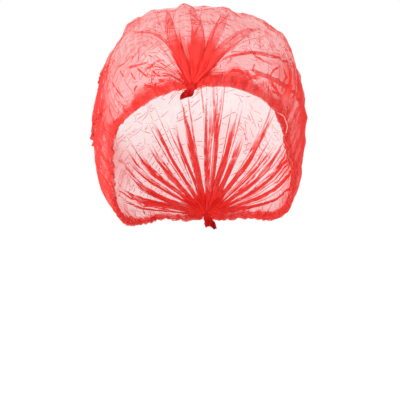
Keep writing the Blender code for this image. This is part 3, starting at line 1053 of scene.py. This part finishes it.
seal = {
    "top": 0.0022,  # how far it reaches above the end of the crown
    "tail": {"frontSealCloth": 0.0082, "backSealCloth": 0.0125},  # and below it
    "neck": 0.0032,  # half widths at the waist and at the lower end
    "spread": 0.0050,
    "lean": 0.0032,  # how far its end hangs to one side
    "thickness": 0.0015,
    "outside": 0.0008,
    "crumple": 0.0014,
    "flute": 0.0005,
    "flutes": 2.3,
    "ragged": 0.0022,
    "tip": 0.0026,
    "uneven": 0.16,
    "sides": 96,
    "cuts": 26,
}


def sealFrame(station):
    # at a seal: across it, up the cloth, outwards, and the place itself
    place = clothPoint(station, 0.0)
    up = clothPoint(abs(station - 0.01), 0.0) - place
    up = up / np.linalg.norm(up)
    outward = np.cross(sideways, up)
    if outward @ (place - centre) < 0.0:
        outward = -outward
    return np.cross(up, outward), up, outward, place


def makeSeal(name, node, station, seed):
    bpy.ops.object.select_all(action="DESELECT")
    sides = seal["sides"]
    bpy.ops.mesh.primitive_cylinder_add(vertices=sides, radius=1.0, depth=1.0, end_fill_type="TRIFAN")
    piece = bpy.context.object
    piece.name = name
    bpy.ops.object.mode_set(mode="EDIT")
    bpy.ops.mesh.select_all(action="DESELECT")
    bpy.ops.object.mode_set(mode="OBJECT")
    mesh = piece.data
    # cut across its length. the first seal is made in vertex mode, which takes in the edges round
    # its ends too, so that one is cut both ways and has the finer mesh
    for meshEdge in mesh.edges:
        ends = [mesh.vertices[index].co for index in meshEdge.vertices]
        meshEdge.select = abs(ends[0].z - ends[1].z) > 0.5
    bpy.ops.object.mode_set(mode="EDIT")
    bpy.ops.mesh.select_mode(type="EDGE")
    bpy.ops.mesh.subdivide(number_cuts=seal["cuts"])
    bpy.ops.object.mode_set(mode="OBJECT")
    places = np.array([vertex.co for vertex in mesh.vertices])
    turn = np.arctan2(places[:, 1], places[:, 0])
    reach = np.hypot(places[:, 0], places[:, 1])
    down = 0.5 - places[:, 2]
    x = np.cos(turn) * reach
    height = seal["top"] - (seal["top"] + seal["tail"][name]) * down
    flare = ease((down - 0.30) / 0.60)
    half = seal["neck"] + (seal["spread"] - seal["neck"]) * flare
    half = half * (0.35 + 0.65 * ease(down / 0.22))
    half = half * (1.0 + 0.10 * grain(down * 6.0, np.sign(x) * 3.0, seed))
    flute = np.sin(math.pi * seal["flutes"] * (x + 0.5 * grain(down * 3.0, x * 2.5, seed + 1)) + seed)
    crumple = grain(x * 3.5 + 2.0, down * 7.0, seed + 2)
    wall = seal["thickness"] * (1.15 - 0.55 * flare) * (0.5 + 0.5 * ease(down / 0.15))
    out = np.sin(turn) * reach * wall + seal["flute"] * (0.4 + 0.6 * flare) * flute
    out = out + seal["crumple"] * crumple * flare + seal["outside"]
    half = half * (1.0 + seal["uneven"] * flare * np.where(x < 0, 1.0, -1.0))
    tip = ease((down - 0.7) / 0.3)
    height = height + seal["ragged"] * tip * grain(x * 5.0 + 1.0, 0.0 * x + 1.5, seed + 3)
    height = height - seal["tip"] * tip * ease((-x - 0.35) / 0.6)
    leaning = half * x - seal["lean"] * ease((down - 0.15) / 0.85)
    aside, up, outward, place = sealFrame(station)
    points = place + leaning[:, None] * aside + height[:, None] * up + out[:, None] * outward
    mesh.vertices.foreach_set("co", points.reshape(-1).astype(np.float32))
    loops = np.array([loop.vertex_index for loop in mesh.loops])
    layer = mesh.uv_layers[0]
    layer.name = "cloth"
    flat = np.stack([half * x * 3.0 + 0.9, height], axis=-1)[loops]
    layer.data.foreach_set("uv", flat.reshape(-1).astype(np.float32))
    creaseLayer = mesh.uv_layers.new(name="crease")
    creaseLayer.data.foreach_set("uv", np.full(2 * len(loops), 9.0, np.float32))
    # painted shade: the colour deepens in the grooves between the flutes and pales on their crests. it
    # also deepens towards the flared, ragged lower end
    masks = {
        "layers": np.clip(0.30 + 0.30 * flare - 0.22 * flute * flare, 0.0, 1.0),
        "pleated": np.clip(0.30 + 0.30 * flare, 0.0, 1.0),
        "fold": 0.4 * tip,
        "whole": np.ones(len(x)),
    }
    paintMasks(mesh, masks)
    mesh.update()
    bpy.ops.object.mode_set(mode="EDIT")
    bpy.ops.mesh.select_all(action="SELECT")
    bpy.ops.mesh.normals_make_consistent(inside=False)
    bpy.ops.object.mode_set(mode="OBJECT")
    bpy.ops.object.shade_smooth()
    mesh.materials.append(sealCloth)
    return fitPiece(piece, node)


frontSeal = makeSeal("frontSealCloth", "front_seal", 0.0, 5)
backSeal = makeSeal("backSealCloth", "back_seal", 1.0, 23)
print("seals made")

# Elastic threads

thread = {
    "radius": 0.00045,
    "height": 0.0036,
    "points": 400,
    "bareFrom": 0.255,  # stations of the bare stretch
    "bareTo": 0.335,
    "bareOut": 0.0036,
    "bareUp": 0.0012,
    "bareForward": 0.0026,
    "colour": (0.94, 0.40, 0.36),
    "grooveShadeColour": (0.85, 0.16, 0.14),
    "windings": 1400.0,
}


def makeThreadMaterial():
    material, tree, shader = newMaterial("coveredElastic")
    place = addNode(tree, "ShaderNodeTexCoord").outputs["Object"]
    winding = noise(tree, thread["windings"], 2.0, place)
    # the winding's grooves, where its bump dips, get a darker colour: painted shade
    colour = ramp(tree, winding, [(0.40, thread["grooveShadeColour"]), (0.55, thread["colour"])])
    tree.links.new(colour, shader.inputs["Base Color"])
    shader.inputs["Roughness"].default_value = 0.55
    addBump(tree, winding, shader, 0.5, 0.0002)
    return material


threadMaterial = makeThreadMaterial()


def makeThread(name, side, node):
    # a covered thread inside the hem. the left one lies bare over a short stretch in front
    first = sealStation() * hem["startShare"]
    stations = np.linspace(first, 1.0 - first, thread["points"])
    bottom = side * edgeAngle(stations, side)
    fromSeal = np.minimum(stations, 1.0 - stations) * 180.0 / hem["growthAngle"]
    height = thread["height"] * (0.6 + 0.4 * ease(fromSeal))
    bare = np.zeros(len(stations))
    if side > 0:
        share = (stations - thread["bareFrom"]) / (thread["bareTo"] - thread["bareFrom"])
        bare = ease(share * 3.0) * ease((1.0 - share) * 3.0)
    wave = gatherWave(stations, side)[0]
    fine = grain(stations * 190.0, 1.5 + 0 * stations, 31 + side)
    inside = 0.8 * hem["ruffle"] * wave + hem["crumple"] * fine
    out = inside * (1.0 - bare) + thread["bareOut"] * bare
    angle = climb(stations, bottom, height + thread["bareUp"] * bare)
    points = clothPoint(stations, angle) + clothNormal(stations, angle) * out[:, None]
    points[:, 1] -= thread["bareForward"] * bare
    curve = bpy.data.curves.new(name, "CURVE")
    curve.dimensions = "3D"
    curve.bevel_depth = thread["radius"]
    curve.bevel_resolution = 2
    curve.use_fill_caps = True
    spline = curve.splines.new("POLY")
    spline.points.add(len(points) - 1)
    for knot, point in zip(spline.points, points):
        knot.co = (*point, 1.0)
    holder = bpy.data.objects.new(name + "Curve", curve)
    bpy.context.scene.collection.objects.link(holder)
    finished = holder.evaluated_get(bpy.context.evaluated_depsgraph_get())
    mesh = bpy.data.meshes.new_from_object(finished)
    bpy.data.objects.remove(holder)
    mesh.materials.clear()
    mesh.materials.append(threadMaterial)
    piece = bpy.data.objects.new(name, mesh)
    bpy.context.scene.collection.objects.link(piece)
    return fitPiece(piece, node)


threadRight = makeThread("elasticRightThread", -1, "elastic_right")
threadLeft = makeThread("elasticLeftThread", 1, "elastic_left")
print("elastic threads made")


def clothArea(piece):
    return sum(face.area for face in piece.data.polygons)


print("cloth areas", [round(clothArea(piece), 4) for piece in (crownPiece, hemRight, hemLeft)])

# Camera, light and floor

view = {
    "turn": 4.5,
    "distance": 1.7,
    "height": -0.154,
    "aside": 0.0012,
    "lens": 188.9,
    "floor": -0.305,
    "floorSize": 14.0,
    "floorShade": 0.3,
    "floorGlow": 0.8,
    "backdrop": 1.0,
    "skyLight": 0.62,
}

# each area light: place, size and power in watts
lights = {
    "key": ((-0.9, -1.4, 0.7), 0.9, 16.0),
    "fill": ((1.2, -1.0, 0.2), 1.2, 2.5),
    "back": ((0.2, 1.4, 0.9), 1.2, 7.0),
}
lightTarget = Vector((0.0, 0.0, -0.1))


def makeCamera():
    turn = math.radians(view["turn"])
    camera = bpy.data.cameras.new("camera")
    camera.sensor_width = 36.0
    camera.lens = view["lens"]
    camera.clip_end = 50.0
    holder = bpy.data.objects.new("camera", camera)
    bpy.context.scene.collection.objects.link(holder)
    right = Vector((math.cos(turn), math.sin(turn), 0.0))
    back = Vector((math.sin(turn), -math.cos(turn), 0.0))
    holder.location = back * view["distance"] + right * view["aside"]
    holder.location.z = view["height"]
    holder.rotation_euler = (math.radians(90.0), 0.0, turn)
    bpy.context.scene.camera = holder


def makeLight(name, place, size, power):
    light = bpy.data.lights.new(name, "AREA")
    light.size = size
    light.energy = power
    holder = bpy.data.objects.new(name, light)
    bpy.context.scene.collection.objects.link(holder)
    holder.location = place
    holder.rotation_euler = (lightTarget - Vector(place)).to_track_quat("-Z", "Y").to_euler()


def makeFloor():
    # a pale floor that glows a little, so that it shows no edge against the backdrop
    bpy.ops.object.select_all(action="DESELECT")
    bpy.ops.mesh.primitive_plane_add(size=view["floorSize"], location=(0, 0, view["floor"]))
    floor = bpy.context.object
    floor.name = "floor"
    material, _, shader = newMaterial("paleFloor")
    shader.inputs["Base Color"].default_value = (*[view["floorShade"]] * 3, 1.0)
    shader.inputs["Roughness"].default_value = 0.9
    shader.inputs["Emission Color"].default_value = (1.0, 1.0, 1.0, 1.0)
    shader.inputs["Emission Strength"].default_value = view["floorGlow"]
    floor.data.materials.append(material)
    return floor


makeCamera()
for lightName, (place, size, power) in lights.items():
    makeLight(lightName, place, size, power)
makeFloor()

# a white backdrop that gives less light than it shows
world = bpy.data.worlds.new("studio")
world.use_nodes = True
sky = world.node_tree
backdrop = sky.nodes["Background"]
backdrop.inputs[0].default_value = (1.0, 1.0, 1.0, 1.0)
raysSeen = addNode(sky, "ShaderNodeLightPath").outputs["Is Camera Ray"]
extra = view["backdrop"] - view["skyLight"]
strength = maths(sky, "MULTIPLY_ADD", raysSeen, extra, view["skyLight"])
sky.links.new(strength, backdrop.inputs[1])
bpy.context.scene.world = world
bpy.context.scene.view_settings.view_transform = "Standard"
print("camera and lights set")
